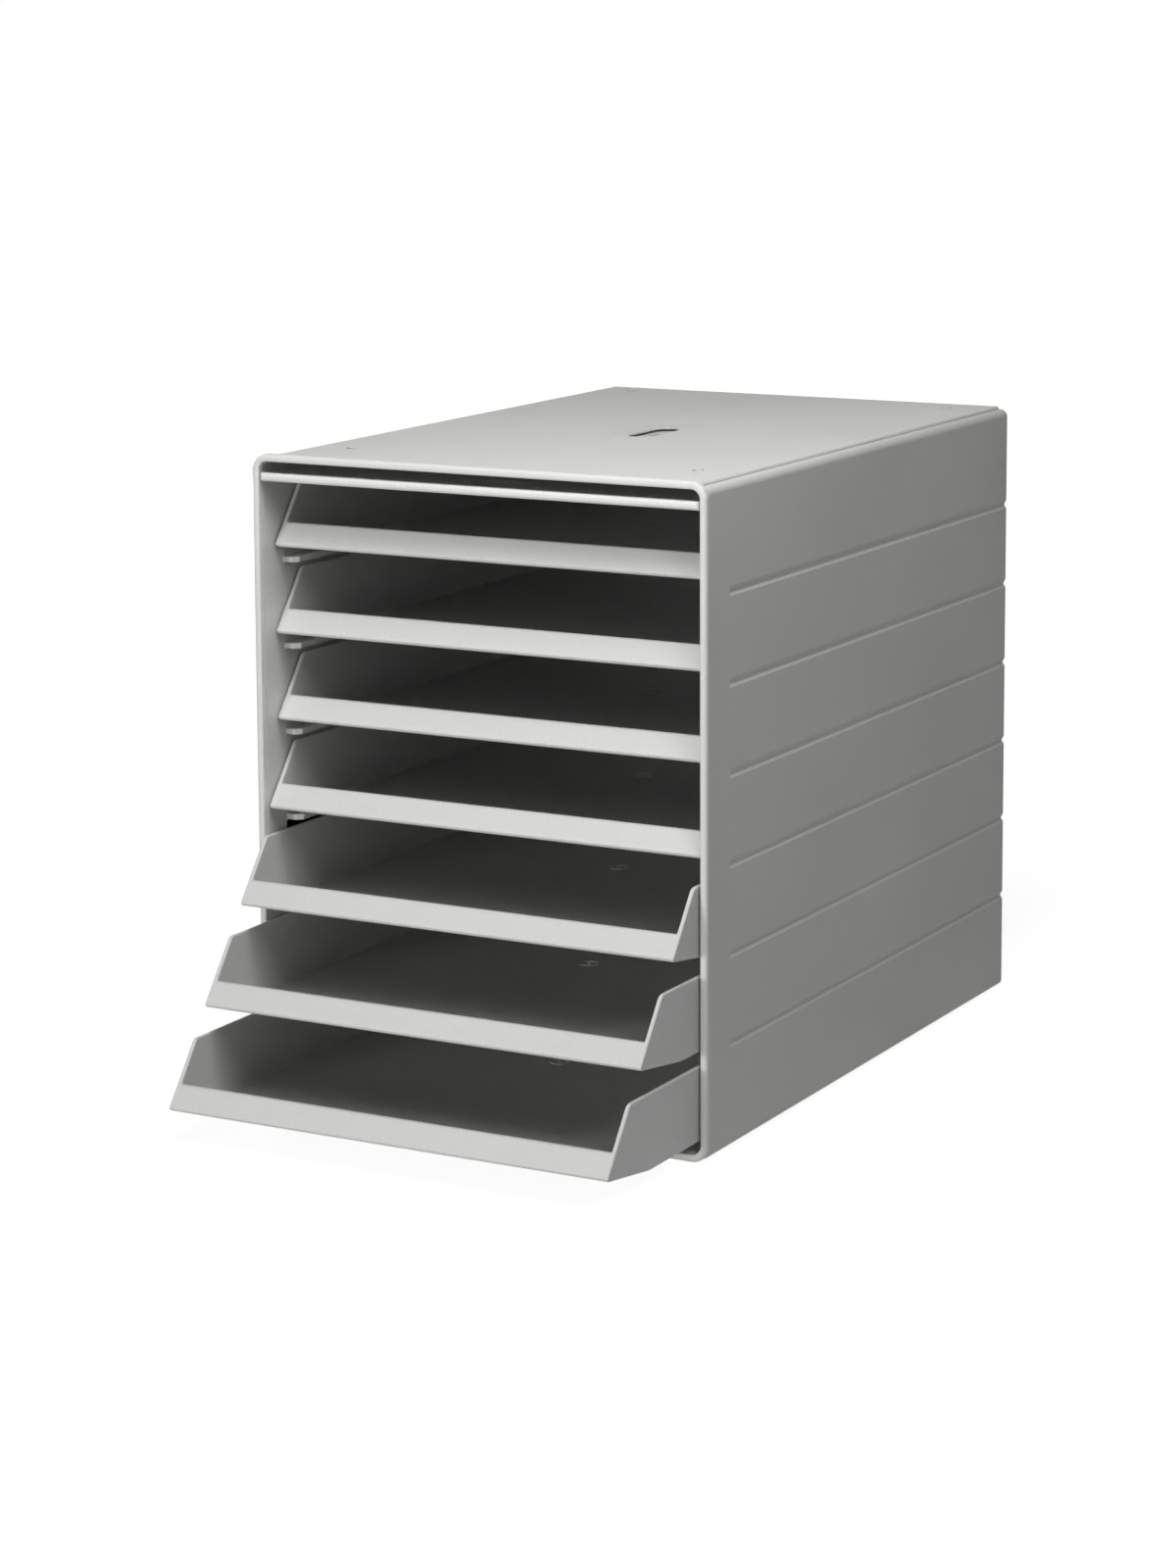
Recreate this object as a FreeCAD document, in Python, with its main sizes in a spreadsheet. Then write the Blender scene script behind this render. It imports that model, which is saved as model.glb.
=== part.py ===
import FreeCAD, Part
import math
import os
import Sketcher

# Desktop drawer organizer: a moulded case with seven open trays and a slide-in front flap.
# Millimetres. X to the right, Y from the front to the back, Z up.
# The origin is on the desk, under the middle of the case and its drawn-out trays.

os.makedirs("parts", exist_ok=True)
doc = FreeCAD.newDocument("organizer")

# Driving sizes: name, value, meaning
SIZES = (
    ("case_wide", 247.8, "case width over the side panels"),
    ("case_high", 322.5, "case height over top and bottom panels"),
    ("case_deep", 365.5, "case depth, front rim to rear edge"),
    ("wall", 2.4, "thickness of every case panel"),
    ("corner_round", 4.0, "outer radius along the two upper long edges"),
    ("foot_round", 2.5, "outer radius along the two lower long edges"),
    ("flange", 4.3, "reach of the side panel over the corner to the seam"),
    ("lid_proud", 1.4, "how far the top panel stands above the side panels"),
    ("lid_round", 1.6, "rounding of the top panel's long edges"),
    ("lap_wide", 5.0, "reach of the ledge under the top and bottom panels"),
    ("lap_thick", 1.4, "thickness of that ledge"),
    ("lap_front", 30.0, "front end of that ledge"),
    ("seam", 0.5, "open seam beside the top and bottom panels"),
    ("rim_deep", 4.0, "depth of the front rim"),
    ("rim_proud", 1.5, "how far the front rim stands out all round"),
    ("rim_face", 3.8, "width of the front rim seen from the front"),
    ("rim_corner", 8.6, "outer radius of the front rim's corners"),
    ("rim_bead", 1.8, "rounding of the front rim's outer edge"),
    ("rim_round", 1.1, "rounding of the front rim's inner edge"),
    ("flap_room", 2.45, "room between the top tray and the flap guides"),
    ("level_low", 7.0, "height of the lowest runner's middle"),
    ("groove_above", 2.6, "upper slope of a side groove"),
    ("groove_below", 1.7, "lower slope of a side groove"),
    ("groove_deep", 1.4, "depth of a side groove"),
    ("groove_start", 27.5, "start of the side grooves behind the front"),
    ("runner_wide", 8.0, "reach of a runner into the case"),
    ("runner_thick", 3.0, "thickness of a runner"),
    ("runner_start", 21.2, "front end of the runners"),
    ("runner_lead", 3.0, "slanted lead at a runner's front end"),
    ("back_inset", 1.0, "back panel behind the rear edge"),
    ("back_thick", 2.4, "thickness of the back panel"),
    ("fit_gap", 0.3, "working gap between neighbouring parts"),
    ("tray_side_gap", 1.2, "gap between tray and case wall"),
    ("tray_short", 18.5, "tray shorter than the case"),
    ("tray_room", 7.0, "tray side lower than the step between trays"),
    ("tray_wall", 2.2, "tray wall and floor thickness"),
    ("tray_chin", 5.8, "height of the front lip's lower edge"),
    ("tray_ramp", 41.0, "length of the rising part of the tray floor"),
    ("lip_tall", 11.3, "height of the front lip"),
    ("lip_lean", 0.75, "set back of the tray front per height"),
    ("tray_round", 5.0, "rounding of the side's upper front corner"),
    ("tray_bevel", 1.3, "bevel under the front lip"),
    ("tray_rear_round", 4.0, "rounding of the tray's rear corners"),
    ("tray_home", 12.0, "closed tray front behind the case front"),
    ("out_fourth", 8.8, "fourth tray drawn out"),
    ("out_fifth", 36.5, "fifth tray drawn out"),
    ("out_sixth", 69.1, "sixth tray drawn out"),
    ("out_seventh", 101.3, "seventh tray drawn out"),
    ("flap_drop", 11.3, "underside of the flap panel below the case top"),
    ("flap_thick", 2.2, "thickness of the flap panel"),
    ("flap_short", 70.0, "flap panel shorter than the case"),
    ("flap_front", 0.3, "flap lip behind the case front"),
    ("flap_lip_deep", 5.0, "depth of the flap lip"),
    ("flap_lip_tall", 4.2, "height of the flap lip"),
    ("flap_lip_drop", 0.8, "flap lip below the panel"),
    ("flap_lip_round", 1.7, "rounding of the flap lip"),
    ("grip_wide", 28.0, "width of the grip recess in the flap"),
    ("grip_deep", 22.0, "length of the grip recess"),
    ("grip_back", 25.5, "grip recess middle behind the case front"),
    ("grip_sink", 2.6, "depth of the grip recess"),
    ("grip_slope", 4.0, "run of the grip recess's slope"),
    ("grip_floor", 1.2, "thickness under the grip recess"),
    ("guide_web", 1.2, "thickness of the flap guide"),
    ("guide_reach", 7.4, "reach of the flap guide under the flap"),
    ("guide_hook", 5.0, "reach of the flap guide over the flap"),
    ("guide_front", 46.0, "front end of the flap guides"),
    ("dish_wide", 26.0, "width of the dished recess in the top"),
    ("dish_long", 74.0, "length of the dished recess"),
    ("dish_deep", 1.6, "depth of the dished recess"),
    ("dish_slope", 3.5, "run of the dished recess's slope"),
    ("slot_wide", 12.4, "width of the slot in the dish"),
    ("slot_long", 42.0, "length of the slot"),
    ("slot_ahead", 4.0, "middle of the slot before the middle of the dish"),
    ("shelf_gap", 1.0, "finger shelf below the top's underside"),
    ("shelf_thick", 1.2, "thickness of the finger shelf"),
    ("shelf_rim", 3.0, "reach of the finger shelf round the slot"),
    ("dish_shift", 9.0, "middle of the dish behind the middle of the top"),
    ("pip_radius", 2.6, "radius of the locating pips"),
    ("pip_tall", 1.0, "height of the locating pips"),
    ("pip_inset", 26.9, "pips from the case side"),
    ("pip_front", 47.7, "front pips behind the case front"),
    ("pip_rear", 20.2, "rear pips before the rear edge"),
    ("pad_proud", 2.0, "foot pad below the case"),
    ("pad_sunk", 0.8, "foot pad inside its seat"),
    ("pad_radius", 7.5, "radius of a foot pad"),
    ("pad_front", 50.0, "front pads behind the case front"),
    ("pad_rear", 40.0, "rear pads before the rear edge"),
    ("pad_inset", 26.9, "pads from the case side"),
)
TRAYS = 7

sheet = doc.addObject("Spreadsheet::Sheet", "Sizes")
for row, (name, value, meaning) in enumerate(SIZES, 1):
    sheet.set("A%d" % row, name)
    sheet.set("B%d" % row, str(value))
    sheet.set("C%d" % row, meaning)
    sheet.setAlias("B%d" % row, name)
doc.recompute()


class Size:
    """A length that knows its value and the expression that gives it."""

    def __init__(self, value, text=None):
        self.value = float(value)
        self.text = text or repr(float(value))

    def mix(self, sign, other, value, swap=False):
        """The size made from this one and another by one arithmetic sign."""
        left, right = (other, self) if swap else (self, other)
        return Size(value, "(%s %s %s)" % (left.text, sign, right.text))

    def __add__(self, other):
        other = size(other)
        return self.mix("+", other, self.value + other.value)

    def __radd__(self, other):
        return size(other) + self

    def __sub__(self, other):
        other = size(other)
        return self.mix("-", other, self.value - other.value)

    def __rsub__(self, other):
        return size(other) - self

    def __mul__(self, other):
        other = size(other)
        return self.mix("*", other, self.value * other.value)

    def __rmul__(self, other):
        return size(other) * self

    def __truediv__(self, other):
        other = size(other)
        return self.mix("/", other, self.value / other.value)

    def __rtruediv__(self, other):
        return size(other) / self

    def __neg__(self):
        return size(0) - self


def size(thing):
    """A plain number or a size, as a size."""
    return thing if isinstance(thing, Size) else Size(thing)


class Named:
    """The driving sizes, by name."""


S = Named()
for name, value, meaning in SIZES:
    setattr(S, name, Size(value, "Sizes." + name))

# Sizes that follow from the driving ones
half_wide = S.case_wide / 2
inner_half = half_wide - S.wall
seam_half = half_wide - S.flange
lap_half = seam_half - S.lap_wide
panel_half = seam_half - S.seam
ceiling = S.case_high - S.wall - S.lap_thick
tray_half = inner_half - S.tray_side_gap
flap_low = S.case_high - S.flap_drop
flap_deep = S.case_deep - S.flap_short
guide_low = flap_low - S.fit_gap - S.guide_web
steps = size(TRAYS - 1)
floor_rise = S.runner_thick / 2 + S.fit_gap
level_top = (guide_low - S.flap_room - floor_rise + S.tray_room + S.level_low / steps) / (1 + 1 / steps)
level_pitch = (level_top - S.level_low) / steps
tray_tall = level_pitch - S.tray_room
tray_deep = S.case_deep - S.tray_short
dish_back = S.case_deep / 2 + S.dish_shift
pip_side, pip_rows = half_wide - S.pip_inset, (S.pip_front, S.case_deep - S.pip_rear)
pad_side, pad_rows = half_wide - S.pad_inset, (S.pad_front, S.case_deep - S.pad_rear)
middle = (S.tray_home - S.out_seventh + S.case_deep) / 2


def drive(item, prop, thing):
    """Bind a property to a size."""
    item.setExpression(prop, size(thing).text)


def body(name, along=0, up=0):
    """An empty body, standing on the case's datum: front plane and underside."""
    made = doc.addObject("PartDesign::Body", name)
    made.Label = name
    drive(made, "Placement.Base.y", size(along) - middle)
    drive(made, "Placement.Base.z", size(up) + S.pad_proud)
    return made


def plane_of(owner, role):
    """The body's own origin plane or axis with this role."""
    return next(item for item in owner.Origin.OriginFeatures if item.Role == role)


def sketch_on(owner, plane, at, name):
    """An empty sketch on an origin plane, moved along that plane's axis."""
    made = owner.newObject("Sketcher::SketchObject", name)
    made.AttachmentSupport = [(plane_of(owner, plane), "")]
    made.MapMode = "FlatFace"
    drive(made, "AttachmentOffset.Base.z", -size(at) if plane == "XZ_Plane" else at)
    return made


def pin(sketch, geometry, point, x, y):
    """Hold one point of a sketch at a place given by two sizes."""
    for kind, thing in (("DistanceX", size(x)), ("DistanceY", size(y))):
        rule = Sketcher.Constraint(kind, -1, 1, geometry, point, thing.value)
        index = sketch.addConstraint(rule)
        sketch.setExpression("Constraints[%d]" % index, thing.text)


def outline(sketch, points):
    """A closed outline of straight edges through the points."""
    spots = [FreeCAD.Vector(size(x).value, size(y).value, 0) for x, y in points]
    count = len(spots)
    first = sketch.GeometryCount
    for i in range(count):
        sketch.addGeometry(Part.LineSegment(spots[i], spots[(i + 1) % count]), False)
    for i in range(count):
        following = first + (i + 1) % count
        sketch.addConstraint(Sketcher.Constraint("Coincident", first + i, 2, following, 1))
    for i, (x, y) in enumerate(points):
        pin(sketch, first + i, 1, x, y)


def circle(sketch, x, y, radius):
    """A circle with its centre and radius given by sizes."""
    spot = FreeCAD.Vector(size(x).value, size(y).value, 0)
    ring = Part.Circle(spot, FreeCAD.Vector(0, 0, 1), size(radius).value)
    index = sketch.addGeometry(ring, False)
    pin(sketch, index, 3, x, y)
    rule = sketch.addConstraint(Sketcher.Constraint("Radius", index, size(radius).value))
    drive(sketch, "Constraints[%d]" % rule, radius)


def stadium(sketch, x, y, wide, long, lying=False):
    """A slot with round ends, standing along Y or lying along X."""
    radius = wide / 2
    reach = (long - wide) / 2
    turn = -math.pi / 2 if lying else 0
    ends = []
    for sign in (1, -1):
        cx = size(x) + sign * reach if lying else size(x)
        cy = size(y) if lying else size(y) + sign * reach
        begin = turn if sign > 0 else turn + math.pi
        ring = Part.Circle(FreeCAD.Vector(cx.value, cy.value, 0), FreeCAD.Vector(0, 0, 1), radius.value)
        arc = sketch.addGeometry(Part.ArcOfCircle(ring, begin, begin + math.pi), False)
        pin(sketch, arc, 3, cx, cy)
        ends.append(arc)
    first, second = (sketch.Geometry[i] for i in ends)
    one = sketch.addGeometry(Part.LineSegment(first.EndPoint, second.StartPoint), False)
    two = sketch.addGeometry(Part.LineSegment(second.EndPoint, first.StartPoint), False)
    joints = ((ends[0], 2, one, 1), (one, 2, ends[1], 1), (ends[1], 2, two, 1), (two, 2, ends[0], 1))
    for joint in joints:
        sketch.addConstraint(Sketcher.Constraint("Tangent", *joint))
    sketch.addConstraint(Sketcher.Constraint("Equal", ends[0], ends[1]))
    rule = sketch.addConstraint(Sketcher.Constraint("Radius", ends[0], radius.value))
    drive(sketch, "Constraints[%d]" % rule, radius)


def check(feature):
    """Stop at the first feature that doesn't compute."""
    if {"Invalid", "Error"} & set(feature.State):
        raise RuntimeError(feature.Name + " doesn't compute")


def extrude(owner, sketch, plane, length, cut=False, taper=0):
    """Add or cut the sketch's shape, always towards the plane's positive axis."""
    kind = "PartDesign::Pocket" if cut else "PartDesign::Pad"
    made = owner.newObject(kind, ("Cut" if cut else "Add") + sketch.Name)
    made.Profile = sketch
    drive(made, "Length", length)
    made.Reversed = (plane == "XZ_Plane") != cut
    if taper:
        made.TaperAngle = taper
    sketch.Visibility = False
    doc.recompute()
    check(made)
    return made


def slant(run, rise):
    """The angle in degrees of a slope with this run and rise, from the upright."""
    return math.degrees(math.atan2(run.value, rise.value))


def slab(owner, name, plane, at, length, points, cut=False):
    """Add or cut a straight prism over an outline."""
    made = sketch_on(owner, plane, at, name)
    outline(made, points)
    return extrude(owner, made, plane, length, cut)


def plate(owner, name, plane, at, length, x0, x1, y0, y1, cut=False):
    """Add or cut a rectangular block."""
    return slab(owner, name, plane, at, length, ((x0, y0), (x1, y0), (x1, y1), (x0, y1)), cut)


def edges(feature, wanted):
    """Names of the straight or round edges whose middle and direction are wanted."""
    names = []
    for number, edge in enumerate(feature.Shape.Edges, 1):
        ends = [vertex.Point for vertex in edge.Vertexes]
        if len(ends) < 2:
            continue
        middle = (ends[0] + ends[1]) / 2
        along = ends[1] - ends[0]
        if along.Length > 1e-6 and wanted(middle, along.normalize()):
            names.append("Edge%d" % number)
    return names


def near(one, other):
    """Whether two numbers agree within a hundredth."""
    return abs(one - size(other).value) < 0.01


def fillet(owner, feature, names, radius):
    """Round the named edges of a feature."""
    if not names:
        raise RuntimeError("no edge to round on " + owner.Label)
    made = owner.newObject("PartDesign::Fillet", "Round")
    made.Base = (feature, names)
    drive(made, "Radius", radius)
    doc.recompute()
    check(made)
    owner.Tip = made
    return made


def repeat(owner, feature, axis, count, step, backwards=False):
    """Repeat a feature along an axis at an even step."""
    made = owner.newObject("PartDesign::LinearPattern", "Row")
    made.Originals = [feature]
    made.Direction = (plane_of(owner, axis), [""])
    made.Mode = "Spacing"
    made.Occurrences = count
    made.Reversed = backwards
    drive(made, "Offset", step)
    doc.recompute()
    check(made)
    owner.Tip = made
    return made


# Side panels: wrap round the long edges, grooved outside, with runners inside
def side_panel(name, side):
    """One side panel, for the right with side 1 and for the left with side -1."""
    made = body(name)
    top, shelf = S.case_high, S.wall + S.lap_thick
    crest = top - S.lid_proud
    profile = (
        (side * half_wide, 0),
        (side * half_wide, crest),
        (side * seam_half, crest),
        (side * seam_half, top - S.wall),
        (side * lap_half, top - S.wall),
        (side * lap_half, top - shelf),
        (side * inner_half, top - shelf),
        (side * inner_half, shelf),
        (side * lap_half, shelf),
        (side * lap_half, S.wall),
        (side * seam_half, S.wall),
        (side * seam_half, 0),
    )
    shell = slab(made, "Shell", "XZ_Plane", S.rim_deep, S.case_deep - S.rim_deep, profile)
    for height, radius in ((crest, S.corner_round), (size(0), S.foot_round)):
        corner = edges(shell, lambda m, d: near(abs(m.x), half_wide) and near(m.z, height) and near(abs(d.y), 1))
        shell = fillet(made, shell, corner, radius)
    clear = lap_half - 1, seam_half
    for name, low in (("UpperEnd", ceiling), ("LowerEnd", S.wall)):
        span = (side * clear[0], side * clear[1], low, low + S.lap_thick)
        plate(made, name, "XZ_Plane", S.rim_deep - 1, S.lap_front - S.rim_deep + 1, *span, cut=True)
    groove(made, side)
    runner(made, side)
    lowest_runner(made, side)
    return made


def groove(made, side):
    """The row of outer grooves, open at the rear edge."""
    level, high, low = level_top, level_top + S.groove_above, level_top - S.groove_below
    face = side * half_wide
    profile = (
        (face + side * 1, high),
        (face, high),
        (face - side * S.groove_deep, level),
        (face, low),
        (face + side * 1, low),
    )
    length = S.case_deep - S.groove_start + 1
    cut = slab(made, "Groove", "XZ_Plane", S.groove_start, length, profile, cut=True)
    repeat(made, cut, "Z_Axis", TRAYS - 1, level_pitch, backwards=True)


def runner_plan(side):
    """A runner seen from above, with its slanted front end."""
    wall, tip = side * inner_half, side * (inner_half - S.runner_wide)
    lead, rear = S.runner_start + S.runner_lead, S.case_deep - S.back_inset - S.back_thick - 2
    nose = side * (inner_half - S.runner_wide + S.runner_lead)
    return ((wall, S.runner_start), (nose, S.runner_start), (tip, lead), (tip, rear), (wall, rear))


def runner(made, side):
    """The row of runners that carry the upper six trays."""
    low = level_top - S.runner_thick / 2
    first = slab(made, "Runner", "XY_Plane", low, S.runner_thick, runner_plan(side))
    repeat(made, first, "Z_Axis", TRAYS - 1, level_pitch, backwards=True)


def lowest_runner(made, side):
    """The lowest runner, which stands on the case's lower ledge."""
    top = level_top + S.runner_thick / 2 - (TRAYS - 1) * level_pitch
    slab(made, "Sill", "XY_Plane", S.wall, top - S.wall, runner_plan(side))


# Top panel: dished slot and four locating pips
def top_panel():
    """The top panel between the side panels."""
    made = body("top_panel")
    low, rear = S.case_high - S.wall, S.case_deep
    flat = plate(made, "Sheet", "XY_Plane", low, S.wall, -panel_half, panel_half, S.rim_deep, rear)
    long = edges(flat, lambda m, d: near(abs(m.x), panel_half) and near(m.z, S.case_high) and near(abs(d.y), 1))
    fillet(made, flat, long, S.lid_round)
    dish = sketch_on(made, "XY_Plane", S.case_high - S.dish_deep, "Dish")
    stadium(dish, 0, dish_back, S.dish_wide - 2 * S.dish_slope, S.dish_long - 2 * S.dish_slope)
    extrude(made, dish, "XY_Plane", S.dish_deep + 1, cut=True, taper=slant(S.dish_slope, S.dish_deep))
    slot = sketch_on(made, "XY_Plane", low - 1, "Slot")
    stadium(slot, 0, dish_back - S.slot_ahead, S.slot_wide, S.slot_long)
    extrude(made, slot, "XY_Plane", S.wall + 2, cut=True)
    finger_shelf(made, low)
    pips = sketch_on(made, "XY_Plane", S.case_high, "Pips")
    for side in (-1, 1):
        for row in pip_rows:
            circle(pips, side * pip_side, row, S.pip_radius)
    raised = extrude(made, pips, "XY_Plane", S.pip_tall)
    high = S.case_high.value + S.pip_tall.value
    rims = [
        "Edge%d" % n
        for n, edge in enumerate(raised.Shape.Edges, 1)
        if len(edge.Vertexes) == 1 and near(edge.CenterOfMass.z, high)
    ]
    fillet(made, raised, rims, S.pip_tall * 0.7)
    return made


def finger_shelf(made, low):
    """A small shelf under the slot, hung along its right side and its front end."""
    wide, long = S.slot_wide / 2 + S.shelf_rim, S.slot_long / 2 + S.shelf_rim
    front, rear = dish_back - S.slot_ahead - long, dish_back - S.slot_ahead + long
    rim, top = S.shelf_rim - S.fit_gap, low - S.shelf_gap
    bottom = top - S.shelf_thick
    plate(made, "Shelf", "XY_Plane", bottom, S.shelf_thick, -wide, wide, front, rear)
    plate(made, "ShelfSide", "XY_Plane", bottom, low - bottom, wide - rim, wide, front, rear)
    plate(made, "ShelfEnd", "XY_Plane", bottom, low - bottom, -wide, wide, front, front + rim)


# Bottom panel: seats for the foot pads
def bottom_panel():
    """The bottom panel between the side panels."""
    made = body("bottom_panel")
    plate(made, "Sheet", "XY_Plane", 0, S.wall, -panel_half, panel_half, S.rim_deep, S.case_deep)
    seats = sketch_on(made, "XY_Plane", -1, "Seats")
    for side in (-1, 1):
        for row in pad_rows:
            circle(seats, side * pad_side, row, S.pad_radius + S.fit_gap)
    extrude(made, seats, "XY_Plane", S.pad_sunk + 1, cut=True)
    return made


def foot_pad(name, side, row):
    """One anti-slip pad under the bottom panel."""
    made = body(name)
    disc = sketch_on(made, "XY_Plane", -S.pad_proud, "Disc")
    circle(disc, side * pad_side, row, S.pad_radius)
    extrude(made, disc, "XY_Plane", S.pad_proud + S.pad_sunk)
    return made


# Back panel: set in between the side panels
def back_panel():
    """The back panel."""
    made = body("back_panel")
    front = S.case_deep - S.back_inset - S.back_thick
    half = inner_half - S.fit_gap
    low, high = S.wall + S.lap_thick, ceiling
    plate(made, "Sheet", "XZ_Plane", front, S.back_thick, -half, half, low, high)
    return made


# Front rim: one ring round the open front
def front_frame():
    """The rim that ties the panels together at the front."""
    made = body("front_frame")
    half, low, high = half_wide + S.rim_proud, -S.rim_proud, S.case_high + S.rim_proud
    ring = plate(made, "Ring", "XZ_Plane", 0, S.rim_deep, -half, half, low, high)
    outer = edges(ring, lambda m, d: near(abs(d.y), 1))
    ring = fillet(made, ring, outer, S.rim_corner)
    front = edges(ring, lambda m, d: near(m.y, 0) and near(d.y, 0))
    ring = fillet(made, ring, front, S.rim_bead)
    hole_half, low, high = half - S.rim_face, low + S.rim_face, high - S.rim_face
    length = S.rim_deep + 2
    hole = plate(made, "Hole", "XZ_Plane", -1, length, -hole_half, hole_half, low, high, cut=True)
    inner = edges(hole, lambda m, d: near(abs(m.x), hole_half) and near(abs(d.y), 1))
    hole = fillet(made, hole, inner, S.rim_corner - S.rim_face)
    bend = hole_half - (S.rim_corner - S.rim_face) / 2

    def inside(m, d):
        """Whether an edge lies on the front of the hole."""
        level = any(near(m.z, height) for height in (low, high))
        upright = any(near(abs(m.x), place) for place in (hole_half, bend))
        return near(m.y, 0) and near(d.y, 0) and (level or upright)

    fillet(made, hole, edges(hole, inside), S.rim_round)
    return made


# Front flap: a thin panel stored under the top, with a rounded front lip
def front_flap():
    """The flap in its stored place."""
    made = body("front_flap")
    lip_half = inner_half - 2 * S.fit_gap
    back = S.flap_front + S.flap_lip_deep
    low = flap_low - S.flap_lip_drop
    profile = ((S.flap_front, low), (back, low), (back, low + S.flap_lip_tall), (S.flap_front, low + S.flap_lip_tall))
    lip = slab(made, "Lip", "YZ_Plane", -lip_half, 2 * lip_half, profile)
    front = edges(lip, lambda m, d: near(m.y, S.flap_front))
    fillet(made, lip, front, S.flap_lip_round)
    half = inner_half - S.guide_web - 2 * S.fit_gap
    start = S.flap_front + S.flap_lip_deep / 2
    plate(made, "Sheet", "XY_Plane", flap_low, S.flap_thick, -half, half, start, start + flap_deep)
    floor = flap_low + S.flap_thick - S.grip_sink
    bowl = sketch_on(made, "XY_Plane", floor - S.grip_floor, "Bowl")
    stadium(bowl, 0, S.grip_back, S.grip_deep, S.grip_wide, lying=True)
    extrude(made, bowl, "XY_Plane", S.grip_floor + S.grip_sink - S.flap_thick / 2)
    grip = sketch_on(made, "XY_Plane", floor, "Grip")
    stadium(grip, 0, S.grip_back, S.grip_deep - 2 * S.grip_slope, S.grip_wide - 2 * S.grip_slope, lying=True)
    extrude(made, grip, "XY_Plane", S.grip_sink + 1, cut=True, taper=slant(S.grip_slope, S.grip_sink))
    return made


def flap_guide(name, side):
    """The channel strip on a side panel that the flap runs in."""
    made = body(name)
    face, web = side * inner_half, side * (inner_half - S.guide_web)
    under, over = side * (inner_half - S.guide_reach), side * (inner_half - S.guide_hook)
    floor, roof = flap_low - S.fit_gap, flap_low - S.flap_lip_drop + S.flap_lip_tall + S.fit_gap
    profile = (
        (face, guide_low),
        (under, guide_low),
        (under, floor),
        (web, floor),
        (web, roof),
        (over, roof),
        (over, ceiling),
        (face, ceiling),
    )
    rear = S.flap_front + S.flap_lip_deep / 2 + flap_deep + 4
    slab(made, "Channel", "XZ_Plane", S.guide_front, rear - S.guide_front, profile)
    return made


# Trays: open boxes with a low, leaning front lip
def tray(name, number, out):
    """One tray, counted from the top, drawn out by a distance."""
    level = level_top + floor_rise - (number - 1) * level_pitch
    made = body(name, along=S.tray_home - out, up=level)
    block = tray_block(made)
    block = tray_rounds(made, block)
    tray_hollow(made)
    return made


def tray_block(made):
    """The tray's outer shape, as a solid."""
    slope = S.lip_lean * (tray_tall - S.tray_chin)
    bevel = S.tray_bevel
    profile = (
        (0, S.tray_chin + bevel),
        (slope - S.lip_lean * bevel, tray_tall),
        (tray_deep, tray_tall),
        (tray_deep, 0),
        (S.tray_ramp, 0),
        (bevel, S.tray_chin - S.tray_chin * bevel / S.tray_ramp),
    )
    return slab(made, "Block", "YZ_Plane", -tray_half, 2 * tray_half, profile)


def tray_rounds(made, block):
    """Rounded corners of the solid tray."""
    crown_at = S.lip_lean * (tray_tall - S.tray_chin - S.tray_bevel)
    crown = edges(block, lambda m, d: near(m.y, crown_at) and near(m.z, tray_tall))
    block = fillet(made, block, crown, S.tray_round)
    rear = edges(block, lambda m, d: near(m.y, tray_deep) and near(abs(d.z), 1))
    return fillet(made, block, rear, S.tray_rear_round)


def tray_hollow(made):
    """The room inside the tray, open above the front lip."""
    lip_top = S.tray_chin + S.lip_tall
    back_of_lip = S.lip_lean * (S.lip_tall - S.tray_bevel) + S.tray_wall * 1.25
    chin_top = S.tray_chin + S.tray_wall + 0.3
    rear, high = tray_deep - S.tray_wall, tray_tall + 10
    profile = (
        (-20, lip_top),
        (back_of_lip, lip_top),
        (back_of_lip - S.lip_lean * (lip_top - chin_top), chin_top),
        (S.tray_ramp, S.tray_wall),
        (rear, S.tray_wall),
        (rear, high),
        (-20, high),
    )
    half = tray_half - S.tray_wall
    cut = slab(made, "Hollow", "YZ_Plane", -half, 2 * half, profile, cut=True)
    inner = edges(cut, lambda m, d: near(m.y, rear) and near(abs(d.z), 1))
    fillet(made, cut, inner, S.tray_rear_round - S.tray_wall)


parts = [side_panel("side_panel_left", -1), side_panel("side_panel_right", 1)]
parts += [top_panel(), bottom_panel(), back_panel(), front_frame(), front_flap()]
parts += [flap_guide("flap_guide_left", -1), flap_guide("flap_guide_right", 1)]
outs = (0, 0, 0, S.out_fourth, S.out_fifth, S.out_sixth, S.out_seventh)
parts += [tray("drawer_%d" % (i + 1), i + 1, size(out)) for i, out in enumerate(outs)]
for end, row in zip(("front", "rear"), pad_rows):
    for word, side in (("left", -1), ("right", 1)):
        parts.append(foot_pad("foot_pad_%s_%s" % (end, word), side, row))

doc.recompute()
for item in doc.Objects:
    if {"Invalid", "Error"} & set(item.State):
        raise RuntimeError("%s of %s doesn't compute" % (item.Name, item.Label))
for part in parts:
    if part.Shape.isNull() or not part.Shape.isValid() or len(part.Shape.Solids) != 1:
        raise RuntimeError(part.Label + " isn't one valid solid")
    part.Shape.exportStep("parts/%s.step" % part.Label)
    bounds = part.Shape.BoundBox
    corners = (bounds.XMin, bounds.XMax, bounds.YMin, bounds.YMax, bounds.ZMin, bounds.ZMax)
    print(part.Label, *("%.1f" % value for value in corners), "volume %.0f" % part.Shape.Volume)
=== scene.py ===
"""Desktop drawer organizer: a moulded case, seven open trays and a slide-in flap on a pale floor."""

import math

import bmesh
import bpy
from bpy.props import FloatProperty, FloatVectorProperty, IntProperty, PointerProperty
from mathutils import Matrix, Vector


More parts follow.
